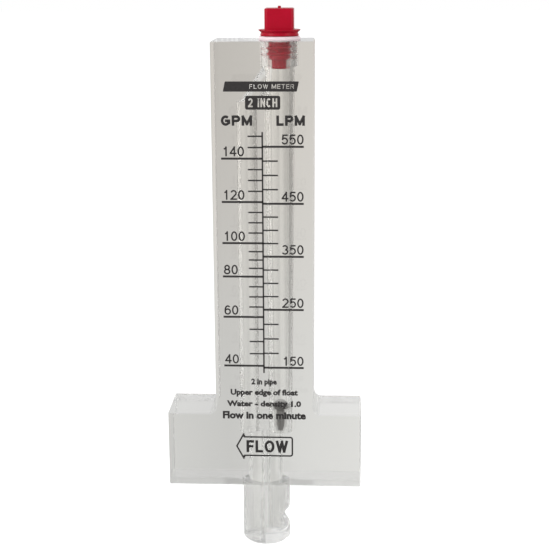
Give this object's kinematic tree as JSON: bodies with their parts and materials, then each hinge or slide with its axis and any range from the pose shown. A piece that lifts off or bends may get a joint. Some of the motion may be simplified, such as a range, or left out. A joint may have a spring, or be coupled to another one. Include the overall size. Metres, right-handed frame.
{
  "type": "flow meter",
  "caption": "Clear acrylic insertion flow meter for a 2 inch pipe: T-shaped block with tapered bore, steel float, printed scale, red screwed top plug and probe.",
  "frame": {"origin": "on the probe's axis, level with the block's lower edges, where the saddle meets the pipe", "axes": "+Z away from the pipe along the column, +X along the pipe to the upstream side that the probe's port faces, -Y is the printed front face"},
  "size_m": [0.0762, 0.024, 0.214],
  "materials": {
    "clear_acrylic": "polished",
    "stainless_steel": "turned, bright",
    "translucent_rubber": "smooth, milky",
    "red_plastic": "moulded, glossy",
    "black_ink": "screen print on the front face"
  },
  "bodies": {
    "meter": {"meter_body": "clear_acrylic", "pitot_probe": "clear_acrylic", "return_bore_plug": "clear_acrylic"},
    "float": {"float": "stainless_steel"},
    "plug_ring": {"plug_seal": "translucent_rubber"},
    "plug": {"top_plug": "red_plastic"}
  },
  "joints": [
    {"name": "float_rise", "type": "slide", "parent": "meter", "child": "float", "axis": [0, 0, 1], "range_m": [0, 0.132]},
    {"name": "plug_lift", "type": "slide", "parent": "meter", "child": "plug_ring", "axis": [0, 0, 1], "range_m": [0, 0.00635]},
    {"name": "plug_turn", "type": "hinge", "parent": "plug_ring", "child": "plug", "pos_m": [0.006, 0, 0.1746], "axis": [0, 0, 1], "range_deg": [0, 1080]}
  ],
  "couplings": [
    {"joint": "plug_turn", "follows": "plug_lift", "rad_per_m": 2968}
  ]
}
